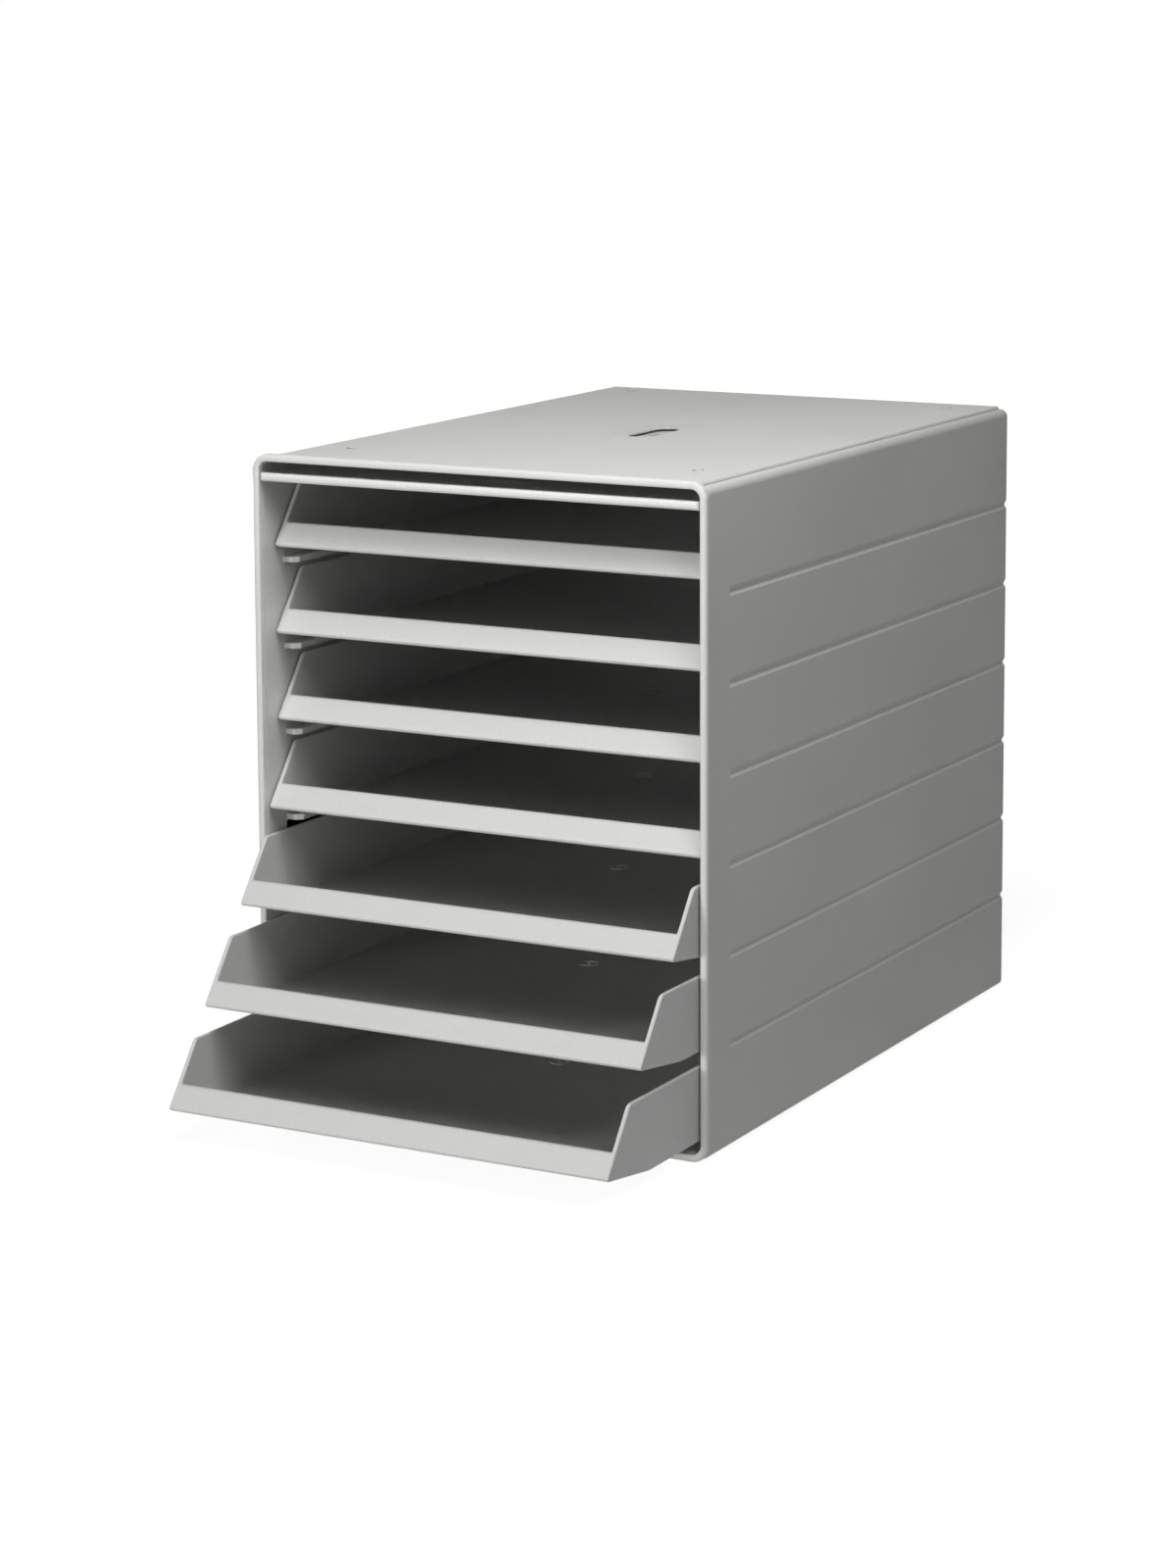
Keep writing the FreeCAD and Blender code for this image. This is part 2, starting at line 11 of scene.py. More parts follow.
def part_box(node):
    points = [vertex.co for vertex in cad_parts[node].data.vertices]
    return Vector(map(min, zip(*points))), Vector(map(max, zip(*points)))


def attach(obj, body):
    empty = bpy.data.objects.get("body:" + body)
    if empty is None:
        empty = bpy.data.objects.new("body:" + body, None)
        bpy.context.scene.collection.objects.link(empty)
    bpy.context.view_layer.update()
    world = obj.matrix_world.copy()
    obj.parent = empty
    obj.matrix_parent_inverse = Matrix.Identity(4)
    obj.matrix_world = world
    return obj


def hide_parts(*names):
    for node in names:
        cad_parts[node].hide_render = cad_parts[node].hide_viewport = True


bl_info = {
    "name": "Desktop Drawer Organizer",
    "version": (1, 0, 0),
    "blender": (4, 5, 0),
    "location": "3D View > Sidebar > Organizer",
    "description": "Soft-edged moulded panels, trays, flap and stage for a drawer organizer",
    "category": "Object",
}

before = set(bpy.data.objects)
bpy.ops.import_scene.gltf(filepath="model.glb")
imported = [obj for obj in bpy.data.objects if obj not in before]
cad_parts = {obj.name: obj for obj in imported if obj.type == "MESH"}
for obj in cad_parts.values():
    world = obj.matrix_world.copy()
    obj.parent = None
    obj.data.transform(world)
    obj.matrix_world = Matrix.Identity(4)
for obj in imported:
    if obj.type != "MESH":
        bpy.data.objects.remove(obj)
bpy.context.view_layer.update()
MM = 0.001
TRAYS = 7
TRAY_FLOOR = 2.2 * MM

# Colours of the pieces; the rim and the flap are paler than the rest by a painted highlight on their
# rounded beads
CASE_GREY = (0.685, 0.696, 0.670)
# The rim's grey plastic, made paler by a painted highlight on its bead
RIM_GREY_AND_HIGHLIGHT = (0.745, 0.752, 0.732)
TRAY_GREY = (0.690, 0.695, 0.682)
# The flap's grey plastic, made paler by a painted highlight on its rounded lip
FLAP_GREY_AND_HIGHLIGHT = (0.790, 0.795, 0.780)
PAD_GREY = (0.055, 0.056, 0.058)

# Tones that dust, scuffs and grain bring to a colour
DUST_TONE = (0.60, 0.58, 0.54, 1.0)
SCUFF_TONE = (0.86, 0.86, 0.85, 1.0)
GRAIN_TONE = (0.90, 0.90, 0.90, 1.0)

# Noise sizes, in repeats per metre
SMUDGE_SCALE = 9.0
SPECK_SCALE = 420.0
MOTTLE_SCALE = 55.0
SCUFF_STRETCH = (420.0, 6.0, 420.0)

# Gloss of the satin plastic
PLASTIC_IOR = 1.46
PLASTIC_GLOSS = 0.25

# Softened edges
EDGE_SEGMENTS = 3
EDGE_ANGLE = math.radians(18.0)
MERGE_REACH = 0.002 * MM
FLAT_ANGLE = math.radians(0.6)

# Facets round a ring and round its bead
RING_FACETS = 40
BEAD_FACETS = 8

# Lamps: name, place and size in metres
LAMP_AIM = (0, 0, 0.2)
LAMPS = (
    ("over", (0.2, -0.34, 0.95), 0.35),
    ("side", (0.8, -0.6, 0.8), 0.3),
    ("left", (-0.5, -2.0, 0.2), 0.35),
    ("front", (0.1, -3.0, 0.25), 0.6),
    ("back", (-1.6, 1.8, 0.2), 0.2),
)

# Camera: place in metres, angles in degrees, sensor in millimetres, the rest in pixels of a 1600 tall frame
CAMERA_PLACE = (0.91405, -1.69554, 0.55513)
CAMERA_AZIMUTH = 28.65
CAMERA_ELEVATION = 8.317
CAMERA_ROLL = -0.306
SENSOR = 36.0
FRAME_TALL = 1600
FOCAL_LENGTH = 3900.0
OPTICAL_CENTRE = 550


# Settings a user would change
class ShellSettings(bpy.types.PropertyGroup):
    """Softness of the moulded edges."""

    case_edge: FloatProperty(
        name="Case edge", description="Rounding of the case panels' edges",
        default=0.55 * MM, min=0.0, unit="LENGTH",
    )
    tray_edge: FloatProperty(
        name="Tray edge", description="Rounding of the trays' wall edges",
        default=0.7 * MM, min=0.0, unit="LENGTH",
    )
    flap_edge: FloatProperty(
        name="Flap edge", description="Rounding of the flap's edges",
        default=0.35 * MM, min=0.0, unit="LENGTH",
    )
    pad_edge: FloatProperty(
        name="Pad edge", description="Rounding of the foot pads",
        default=0.7 * MM, min=0.0, unit="LENGTH",
    )


class MarkSettings(bpy.types.PropertyGroup):
    """The round gate marks along the middle of each tray's floor."""

    count: IntProperty(name="Count", description="Gate marks in a tray", default=3, min=1, max=9)
    first: FloatProperty(
        name="First mark", description="First mark behind the tray's front",
        default=61 * MM, unit="LENGTH",
    )
    step: FloatProperty(
        name="Step", description="Distance from one mark to the next",
        default=111 * MM, unit="LENGTH",
    )
    ring: FloatProperty(
        name="Ring radius", description="Radius of the raised ring",
        default=4.6 * MM, unit="LENGTH",
    )
    bead: FloatProperty(
        name="Bead", description="Thickness of the raised ring",
        default=0.35 * MM, unit="LENGTH",
    )


class FinishSettings(bpy.types.PropertyGroup):
    """Colours and texture of the plastic and the rubber."""

    case_colour: FloatVectorProperty(
        name="Case", description="Colour of the case", subtype="COLOR", default=CASE_GREY,
    )
    # The rim's grey plastic, paler by a painted highlight on its bead
    rim_colour_and_highlight: FloatVectorProperty(
        name="Rim", description="Colour of the front rim", subtype="COLOR", default=RIM_GREY_AND_HIGHLIGHT,
    )
    tray_colour: FloatVectorProperty(
        name="Trays", description="Colour of the trays", subtype="COLOR", default=TRAY_GREY,
    )
    # The flap's grey plastic, paler by a painted highlight on its lip
    flap_colour_and_highlight: FloatVectorProperty(
        name="Flap", description="Colour of the flap", subtype="COLOR", default=FLAP_GREY_AND_HIGHLIGHT,
    )
    pad_colour: FloatVectorProperty(
        name="Pads", description="Colour of the foot pads", subtype="COLOR", default=PAD_GREY,
    )
    grain: FloatProperty(
        name="Grain", description="Grains of the moulded texture per metre",
        default=1500.0, min=10.0,
    )
    relief: FloatProperty(
        name="Relief", description="Depth of the moulded texture",
        default=0.03 * MM, unit="LENGTH",
    )


class StageSettings(bpy.types.PropertyGroup):
    """Lamps, sky and floor."""

    over_power: FloatProperty(name="Overhead lamp", description="Power in watts", default=4.3)
    side_power: FloatProperty(name="Side lamp", description="Power in watts", default=1.65)
    left_power: FloatProperty(name="Left front lamp", description="Power in watts", default=13.0)
    front_power: FloatProperty(name="Front lamp", description="Power in watts", default=15.5)
    back_power: FloatProperty(name="Low back lamp", description="Power in watts", default=8.0)
    sky: FloatProperty(name="Sky", description="Strength of the soft surrounding light", default=0.012)
    floor_tone: FloatProperty(name="Floor", description="Tone of the pale floor", default=0.45)


# Small helpers for node trees
def add_node(tree, kind, **values):
    """A node of a kind, with its properties and unlinked inputs set by name."""
    made = tree.nodes.new(kind)
    for name, value in values.items():
        if hasattr(made, name):
            setattr(made, name, value)
        else:
            made.inputs[name.replace("_", " ")].default_value = value
    return made


def wire(tree, source, target):
    """One link between two sockets."""
    tree.links.new(source, target)


def math_node(tree, operation, first, second=None, clamp=False):
    """The result of one arithmetic step on sockets or numbers."""
    made = add_node(tree, "ShaderNodeMath", operation=operation, use_clamp=clamp)
    for index, value in enumerate((first, second)):
        if isinstance(value, bpy.types.NodeSocket):
            wire(tree, value, made.inputs[index])
        elif value is not None:
            made.inputs[index].default_value = value
    return made.outputs[0]


def remap(tree, value, low, high, to_low, to_high):
    """A value's range moved onto another range, and held there."""
    made = add_node(tree, "ShaderNodeMapRange", clamp=True)
    wire(tree, value, made.inputs["Value"])
    ends = {"From Min": low, "From Max": high, "To Min": to_low, "To Max": to_high}
    for name, number in ends.items():
        if isinstance(number, bpy.types.NodeSocket):
            wire(tree, number, made.inputs[name])
        else:
            made.inputs[name].default_value = number
    return made.outputs["Result"]


def new_group(name, inputs, outputs):
    """An empty shader node group with named inputs and outputs."""
    tree = bpy.data.node_groups.new(name, "ShaderNodeTree")
    for label, kind, default in inputs:
        socket = tree.interface.new_socket(name=label, in_out="INPUT", socket_type=kind)
        socket.default_value = default
    for label, kind in outputs:
        tree.interface.new_socket(name=label, in_out="OUTPUT", socket_type=kind)
    return tree, add_node(tree, "NodeGroupInput"), add_node(tree, "NodeGroupOutput")


# Shared effects
def grain_group():
    """Fine spark-eroded texture of a moulding tool."""
    name = "Moulded grain"
    if name in bpy.data.node_groups:
        return bpy.data.node_groups[name]
    tree, given, result = new_group(
        name, [("Grain", "NodeSocketFloat", 1500.0)],
        [("Height", "NodeSocketFloat"), ("Mottle", "NodeSocketFloat")],
    )
    place = add_node(tree, "ShaderNodeTexCoord").outputs["Object"]
    fine = add_node(tree, "ShaderNodeTexNoise", Detail=2.0, Roughness=0.55)
    pits = add_node(tree, "ShaderNodeTexVoronoi", feature="SMOOTH_F1", Smoothness=0.7)
    slow = add_node(tree, "ShaderNodeTexNoise", Scale=MOTTLE_SCALE, Detail=4.0, Roughness=0.6)
    for texture in (fine, pits, slow):
        wire(tree, place, texture.inputs["Vector"])
    wire(tree, given.outputs["Grain"], fine.inputs["Scale"])
    pit_share = 0.62
    wire(tree, math_node(tree, "MULTIPLY", given.outputs["Grain"], pit_share), pits.inputs["Scale"])
    height = math_node(tree, "ADD", fine.outputs["Fac"], pits.outputs["Distance"])
    wire(tree, height, result.inputs["Height"])
    wire(tree, slow.outputs["Fac"], result.inputs["Mottle"])
    return tree


def wear_group():
    """Faint handling marks, sliding scuffs and settled dust on a surface."""
    name = "Handling wear"
    if name in bpy.data.node_groups:
        return bpy.data.node_groups[name]
    tree, given, result = new_group(
        name,
        [
            ("Colour", "NodeSocketColor", (0.7, 0.7, 0.7, 1.0)),
            ("Dust", "NodeSocketFloat", 0.05),
            ("Scuffs", "NodeSocketFloat", 0.05),
            ("Smoothest", "NodeSocketFloat", 0.4),
            ("Roughest", "NodeSocketFloat", 0.5),
        ],
        [
            ("Colour", "NodeSocketColor"),
            ("Roughness", "NodeSocketFloat"),
            ("Scratch", "NodeSocketFloat"),
        ],
    )
    place = add_node(tree, "ShaderNodeTexCoord").outputs["Object"]
    stretch = add_node(tree, "ShaderNodeMapping")
    stretch.inputs["Scale"].default_value = SCUFF_STRETCH
    wire(tree, place, stretch.inputs["Vector"])
    smudge = add_node(tree, "ShaderNodeTexNoise", Scale=SMUDGE_SCALE, Detail=5.0, Roughness=0.6)
    wire(tree, place, smudge.inputs["Vector"])
    drag = add_node(tree, "ShaderNodeTexNoise", Scale=1.0, Detail=2.0, Roughness=0.5)
    wire(tree, stretch.outputs["Vector"], drag.inputs["Vector"])
    speck = add_node(tree, "ShaderNodeTexNoise", Scale=SPECK_SCALE, Detail=3.0, Roughness=0.7)
    wire(tree, place, speck.inputs["Vector"])
    scratch = remap(tree, drag.outputs["Fac"], 0.66, 0.80, 0.0, 1.0)
    patch = remap(tree, smudge.outputs["Fac"], 0.45, 0.70, 0.0, 1.0)
    scratch = math_node(tree, "MULTIPLY", scratch, patch)
    facing = add_node(tree, "ShaderNodeNewGeometry").outputs["Normal"]
    split = add_node(tree, "ShaderNodeSeparateXYZ")
    wire(tree, facing, split.inputs["Vector"])
    upward = remap(tree, split.outputs["Z"], 0.5, 1.0, 0.0, 1.0)
    specks = remap(tree, speck.outputs["Fac"], 0.45, 0.8, 0.2, 1.0)
    dust = math_node(tree, "MULTIPLY", upward, specks)
    dust = math_node(tree, "MULTIPLY", dust, given.outputs["Dust"])
    shade = add_node(tree, "ShaderNodeMix", data_type="RGBA")
    shade.inputs[7].default_value = DUST_TONE
    wire(tree, dust, shade.inputs[0])
    wire(tree, given.outputs["Colour"], shade.inputs[6])
    tint = add_node(tree, "ShaderNodeMix", data_type="RGBA", blend_type="MULTIPLY")
    tint.inputs[7].default_value = SCUFF_TONE
    amount = math_node(tree, "MULTIPLY", scratch, given.outputs["Scuffs"])
    cloud_strength = 0.04
    cloud = remap(tree, smudge.outputs["Fac"], 0.3, 0.7, 0.0, 1.0)
    cloud = math_node(tree, "MULTIPLY", cloud, cloud_strength)
    wire(tree, math_node(tree, "ADD", amount, cloud, clamp=True), tint.inputs[0])
    wire(tree, shade.outputs[2], tint.inputs[6])
    smoothest, roughest = given.outputs["Smoothest"], given.outputs["Roughest"]
    rough = remap(tree, smudge.outputs["Fac"], 0.3, 0.7, smoothest, roughest)
    dulling = 0.5
    rough = math_node(tree, "ADD", rough, math_node(tree, "MULTIPLY", dust, dulling), clamp=True)
    wire(tree, tint.outputs[2], result.inputs["Colour"])
    wire(tree, rough, result.inputs["Roughness"])
    wire(tree, amount, result.inputs["Scratch"])
    return tree


def moulded_material(name, colour, look, dust, scuffs, rough, grain=1.0, relief=1.0, sheen=0.0):
    """A moulded surface: grained, slightly handled, satin. Grain and relief are shares of the setting."""
    made = bpy.data.materials.get(name)
    if made:
        return made
    made = bpy.data.materials.new(name)
    made.use_nodes = True
    made.diffuse_color = (*colour, 1.0)
    tree = made.node_tree
    shader = tree.nodes["Principled BSDF"]
    shader.inputs["IOR"].default_value = PLASTIC_IOR
    shader.inputs["Specular IOR Level"].default_value = PLASTIC_GLOSS
    shader.inputs["Sheen Weight"].default_value = sheen
    wear = add_node(tree, "ShaderNodeGroup", node_tree=wear_group())
    wear.inputs["Colour"].default_value = (*colour, 1.0)
    wear.inputs["Dust"].default_value = dust
    wear.inputs["Scuffs"].default_value = scuffs
    wear.inputs["Smoothest"].default_value, wear.inputs["Roughest"].default_value = rough
    texture = add_node(tree, "ShaderNodeGroup", node_tree=grain_group())
    texture.inputs["Grain"].default_value = look.grain * grain
    mottle = add_node(tree, "ShaderNodeMix", data_type="RGBA", blend_type="MULTIPLY")
    mottle.inputs[7].default_value = GRAIN_TONE
    fleck_strength, drift_strength = 0.55, 0.12
    fleck = remap(tree, texture.outputs["Height"], 0.5, 1.1, 0.0, 1.0)
    fleck = math_node(tree, "MULTIPLY", fleck, fleck_strength)
    drift = remap(tree, texture.outputs["Mottle"], 0.35, 0.65, 0.0, drift_strength)
    wire(tree, math_node(tree, "ADD", fleck, drift, clamp=True), mottle.inputs[0])
    wire(tree, wear.outputs["Colour"], mottle.inputs[6])
    wire(tree, mottle.outputs[2], shader.inputs["Base Color"])
    wire(tree, wear.outputs["Roughness"], shader.inputs["Roughness"])
    scratch_depth = -0.6
    lines = math_node(tree, "MULTIPLY", wear.outputs["Scratch"], scratch_depth)
    bump = add_node(tree, "ShaderNodeBump", Strength=0.55, Distance=look.relief * relief)
    wire(tree, math_node(tree, "ADD", texture.outputs["Height"], lines), bump.inputs["Height"])
    wire(tree, bump.outputs["Normal"], shader.inputs["Normal"])
    return made


def case_material(look):
    """Light grey plastic of the case."""
    return moulded_material(
        "Panel plastic", look.case_colour, look, dust=0.10, scuffs=0.10, rough=(0.40, 0.50),
    )


def rim_material(look):
    """Light grey plastic of the front rim, a shade paler: a painted highlight on its rounded bead."""
    return moulded_material(
        "Rim plastic", look.rim_colour_and_highlight, look, dust=0.06, scuffs=0.15, rough=(0.36, 0.46),
    )


def tray_material(look):
    """Light grey plastic of the trays, a little smoother and more scuffed."""
    return moulded_material(
        "Tray plastic", look.tray_colour, look, dust=0.12, scuffs=0.35, rough=(0.36, 0.48), relief=0.7,
    )


def flap_material(look):
    """Light grey plastic of the flap, the palest piece: its grey made paler by a painted highlight on its
    rounded lip.
    """
    return moulded_material(
        "Flap plastic", look.flap_colour_and_highlight, look, dust=0.04, scuffs=0.30, rough=(0.34, 0.46), relief=0.6,
    )


def pad_material(look):
    """Matt rubber of the foot pads."""
    return moulded_material(
        "Pad rubber", look.pad_colour, look, dust=0.20, scuffs=0.20, rough=(0.78, 0.90),
        grain=0.8, relief=2, sheen=0.15,
    )


# Meshes
def joined_copy(node):
    """A copy of a solid's mesh with its loose triangles merged into whole faces."""
    shell = bmesh.new()
    shell.from_mesh(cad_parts[node].data)
    bmesh.ops.remove_doubles(shell, verts=shell.verts, dist=MERGE_REACH)
    bmesh.ops.dissolve_limit(shell, angle_limit=FLAT_ANGLE, verts=shell.verts, edges=shell.edges)
    made = bpy.data.meshes.new(node + "_mesh")
    shell.to_mesh(made)
    shell.free()
    return made


def solid_mesh(source, name):
    """A plain mesh object made from an object as it looks with its modifiers."""
    graph = bpy.context.evaluated_depsgraph_get()
    mesh = bpy.data.meshes.new_from_object(source.evaluated_get(graph), depsgraph=graph)
    mesh.name = name
    made = bpy.data.objects.new(name, mesh)
    bpy.context.scene.collection.objects.link(made)
    return made


def discard(thing):
    """Remove a helper object and its mesh."""
    mesh = thing.data
    bpy.data.objects.remove(thing)
    if mesh.users == 0:
        bpy.data.meshes.remove(mesh)


def soft_edged(node, name, width, material):
    """A solid's shape with softly rounded edges, as a new piece."""
    mesh = joined_copy(node)
    helper = bpy.data.objects.new(name + "_helper", mesh)
    bpy.context.scene.collection.objects.link(helper)
    mesh.materials.clear()
    mesh.materials.append(material)
    for face in mesh.polygons:
        face.use_smooth = True
        face.material_index = 0
    mesh.set_sharp_from_angle(angle=EDGE_ANGLE)
    bevel = helper.modifiers.new("Soft edges", "BEVEL")
    bevel.width = width
    bevel.segments = EDGE_SEGMENTS
    bevel.limit_method = "ANGLE"
    bevel.angle_limit = EDGE_ANGLE
    bevel.use_clamp_overlap = False
    bevel.harden_normals = True
    bevel.miter_outer = "MITER_ARC"
    even = helper.modifiers.new("Even shading", "WEIGHTED_NORMAL")
    even.keep_sharp = True
    even.mode = "FACE_AREA"
    even.weight = 100
    piece = solid_mesh(helper, name)
    discard(helper)
    return piece


def dress(piece, body, slot, *nodes):
    """Let a finished piece ride on its body and stand for its solids; the finish slot it is given is not
    used.
    """
    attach(piece, body)
    if nodes:
        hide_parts(*nodes)


# Geometry node trees
def field_tree(name, inputs):
    """An empty geometry node tree with named inputs and one geometry output."""
    tree = bpy.data.node_groups.new(name, "GeometryNodeTree")
    for label, kind in inputs:
        tree.interface.new_socket(name=label, in_out="INPUT", socket_type=kind)
    tree.interface.new_socket(name="Geometry", in_out="OUTPUT", socket_type="NodeSocketGeometry")
    return tree, add_node(tree, "NodeGroupInput"), add_node(tree, "NodeGroupOutput")


def finish_tree(tree, given, result, geometry):
    """Realize the instances and set the material at the end of a tree."""
    real = add_node(tree, "GeometryNodeRealizeInstances")
    coat = add_node(tree, "GeometryNodeSetMaterial")
    wire(tree, geometry, real.inputs["Geometry"])
    wire(tree, real.outputs["Geometry"], coat.inputs["Geometry"])
    wire(tree, given.outputs["Material"], coat.inputs["Material"])
    wire(tree, coat.outputs["Geometry"], result.inputs["Geometry"])
    return tree


def grown(name, tree, values):
    """The piece that a geometry node tree makes from named values."""
    helper = bpy.data.objects.new(name + "_helper", bpy.data.meshes.new(name + "_helper"))
    bpy.context.scene.collection.objects.link(helper)
    growth = helper.modifiers.new("Growth", "NODES")
    growth.node_group = tree
    for label, value in values.items():
        growth[tree.interface.items_tree[label].identifier] = value
    bpy.context.view_layer.update()
    piece = solid_mesh(helper, name)
    helper.modifiers.remove(growth)
    discard(helper)
    return piece


def bead_section(tree, given):
    """The round section of a raised bead."""
    section = add_node(tree, "GeometryNodeCurvePrimitiveCircle", Resolution=BEAD_FACETS)
    wire(tree, given.outputs["Bead"], section.inputs["Radius"])
    return section


def bead_ring(tree, radius, section):
    """A flat ring with that section."""
    loop = add_node(tree, "GeometryNodeCurvePrimitiveCircle", Resolution=RING_FACETS)
    wire(tree, radius, loop.inputs["Radius"])
    ring = add_node(tree, "GeometryNodeCurveToMesh")
    wire(tree, loop.outputs["Curve"], ring.inputs["Curve"])
    wire(tree, section.outputs["Curve"], ring.inputs["Profile Curve"])
    return ring


def stacked_tray_tree():
    """Puts the master tray one or more steps lower and some way drawn out."""
    name = "Stacked tray"
    if name in bpy.data.node_groups:
        return bpy.data.node_groups[name]
    tree, given, result = field_tree(
        name,
        [
            ("Tray", "NodeSocketObject"), ("Drawn Out", "NodeSocketFloat"),
            ("Lowered", "NodeSocketFloat"), ("Material", "NodeSocketMaterial"),
        ],
    )
    master = add_node(tree, "GeometryNodeObjectInfo")
    wire(tree, given.outputs["Tray"], master.inputs["Object"])
    shift = add_node(tree, "ShaderNodeCombineXYZ")
    for axis, label in (("Y", "Drawn Out"), ("Z", "Lowered")):
        wire(tree, math_node(tree, "MULTIPLY", given.outputs[label], -1.0), shift.inputs[axis])
    moved = add_node(tree, "GeometryNodeTransform")
    wire(tree, master.outputs["Geometry"], moved.inputs["Geometry"])
    wire(tree, shift.outputs["Vector"], moved.inputs["Translation"])
    return finish_tree(tree, given, result, moved.outputs["Geometry"])


def gate_mark_tree():
    """A row of round gate marks: a raised ring with a small nub in the middle."""
    name = "Gate marks"
    if name in bpy.data.node_groups:
        return bpy.data.node_groups[name]
    tree, given, result = field_tree(
        name,
        [
            ("Count", "NodeSocketInt"), ("Start", "NodeSocketVector"), ("Step", "NodeSocketFloat"),
            ("Ring", "NodeSocketFloat"), ("Bead", "NodeSocketFloat"), ("Material", "NodeSocketMaterial"),
        ],
    )
    offset = add_node(tree, "ShaderNodeCombineXYZ")
    wire(tree, given.outputs["Step"], offset.inputs["Y"])
    row = add_node(tree, "GeometryNodeMeshLine")
    wire(tree, given.outputs["Count"], row.inputs["Count"])
    wire(tree, given.outputs["Start"], row.inputs["Start Location"])
    wire(tree, offset.outputs["Vector"], row.inputs["Offset"])
    ring = bead_ring(tree, given.outputs["Ring"], bead_section(tree, given))
    nub_share, nub_flatness = 0.26, 0.35
    nub = add_node(tree, "GeometryNodeMeshUVSphere", Segments=20, Rings=10)
    wire(tree, math_node(tree, "MULTIPLY", given.outputs["Ring"], nub_share), nub.inputs["Radius"])
    flat = add_node(tree, "GeometryNodeTransform", Scale=(1.0, 1.0, nub_flatness))
    wire(tree, nub.outputs["Mesh"], flat.inputs["Geometry"])
    both = add_node(tree, "GeometryNodeJoinGeometry")
    wire(tree, ring.outputs["Mesh"], both.inputs["Geometry"])
    wire(tree, flat.outputs["Geometry"], both.inputs["Geometry"])
    smooth = add_node(tree, "GeometryNodeSetShadeSmooth")
    wire(tree, both.outputs["Geometry"], smooth.inputs["Geometry"])
    marks = add_node(tree, "GeometryNodeInstanceOnPoints")
    wire(tree, row.outputs["Mesh"], marks.inputs["Points"])
    wire(tree, smooth.outputs["Geometry"], marks.inputs["Instance"])
    return finish_tree(tree, given, result, marks.outputs["Instances"])


def pad_ridge_tree():
    """Concentric grip ridges under the foot pads, at four places."""
    name = "Pad ridges"
    if name in bpy.data.node_groups:
        return bpy.data.node_groups[name]
    tree, given, result = field_tree(
        name,
        [
            ("Across", "NodeSocketFloat"), ("Front", "NodeSocketFloat"), ("Rear", "NodeSocketFloat"),
            ("Height", "NodeSocketFloat"), ("Radius", "NodeSocketFloat"), ("Bead", "NodeSocketFloat"),
            ("Material", "NodeSocketMaterial"),
        ],
    )
    section = bead_section(tree, given)
    rings = add_node(tree, "GeometryNodeJoinGeometry")
    for share in (0.28, 0.52, 0.76):
        ring = bead_ring(tree, math_node(tree, "MULTIPLY", given.outputs["Radius"], share), section)
        wire(tree, ring.outputs["Mesh"], rings.inputs["Geometry"])
    smooth = add_node(tree, "GeometryNodeSetShadeSmooth")
    wire(tree, rings.outputs["Geometry"], smooth.inputs["Geometry"])
    corners = add_node(tree, "GeometryNodeJoinGeometry")
    for label in ("Front", "Rear"):
        for side in (-1.0, 1.0):
            spot = add_node(tree, "ShaderNodeCombineXYZ")
            wire(tree, math_node(tree, "MULTIPLY", given.outputs["Across"], side), spot.inputs["X"])
            wire(tree, given.outputs[label], spot.inputs["Y"])
            wire(tree, given.outputs["Height"], spot.inputs["Z"])
            moved = add_node(tree, "GeometryNodeTransform")
            wire(tree, smooth.outputs["Geometry"], moved.inputs["Geometry"])
            wire(tree, spot.outputs["Vector"], moved.inputs["Translation"])
            wire(tree, moved.outputs["Geometry"], corners.inputs["Geometry"])
    return finish_tree(tree, given, result, corners.outputs["Geometry"])


# Operators, one for each piece or group of like pieces
class ORGANIZER_OT_case(bpy.types.Operator):
    """Side, top, bottom and back panels with soft edges"""

    bl_idname = "organizer.case"
    bl_label = "Case panels"

    def execute(self, context):
        scene = context.scene
        plastic = case_material(scene.organizer_finish)
        width = scene.organizer_shell.case_edge
        for node in ("side_panel_left", "side_panel_right", "top_panel", "bottom_panel", "back_panel"):
            piece = soft_edged(node, node.replace("panel", "shell"), width, plastic)
            dress(piece, "case", "case_plastic", node)
        return {"FINISHED"}


class ORGANIZER_OT_rim(bpy.types.Operator):
    """The rim round the open front"""

    bl_idname = "organizer.rim"
    bl_label = "Front rim"

    def execute(self, context):
        scene = context.scene
        plastic = rim_material(scene.organizer_finish)
        piece = soft_edged("front_frame", "front_rim", scene.organizer_shell.case_edge, plastic)
        dress(piece, "case", "case_plastic", "front_frame")
        return {"FINISHED"}


class ORGANIZER_OT_flap(bpy.types.Operator):
    """The flap and the two channels it runs in"""

    bl_idname = "organizer.flap"
    bl_label = "Flap and guides"

    def execute(self, context):
        scene = context.scene
        width = scene.organizer_shell.flap_edge
        piece = soft_edged("front_flap", "flap_sheet", width, flap_material(scene.organizer_finish))
        dress(piece, "flap", "flap_plastic", "front_flap")
        plastic = case_material(scene.organizer_finish)
        for side in ("left", "right"):
            channel = soft_edged("flap_guide_" + side, "flap_channel_" + side, width, plastic)
            dress(channel, "case", "case_plastic", "flap_guide_" + side)
        return {"FINISHED"}


class ORGANIZER_OT_trays(bpy.types.Operator):
    """Seven trays stacked from one master"""

    bl_idname = "organizer.trays"
    bl_label = "Trays"

    def execute(self, context):
        scene = context.scene
        plastic = tray_material(scene.organizer_finish)
        master = soft_edged("drawer_1", "tray_master", scene.organizer_shell.tray_edge, plastic)
        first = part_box("drawer_1")[0]
        for number in range(1, TRAYS + 1):
            node = "drawer_%d" % number
            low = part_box(node)[0]
            values = {
                "Tray": master, "Drawn Out": first.y - low.y,
                "Lowered": first.z - low.z, "Material": plastic,
            }
            piece = grown("tray_%d" % number, stacked_tray_tree(), values)
            dress(piece, node, "tray_plastic", node)
        discard(master)
        return {"FINISHED"}


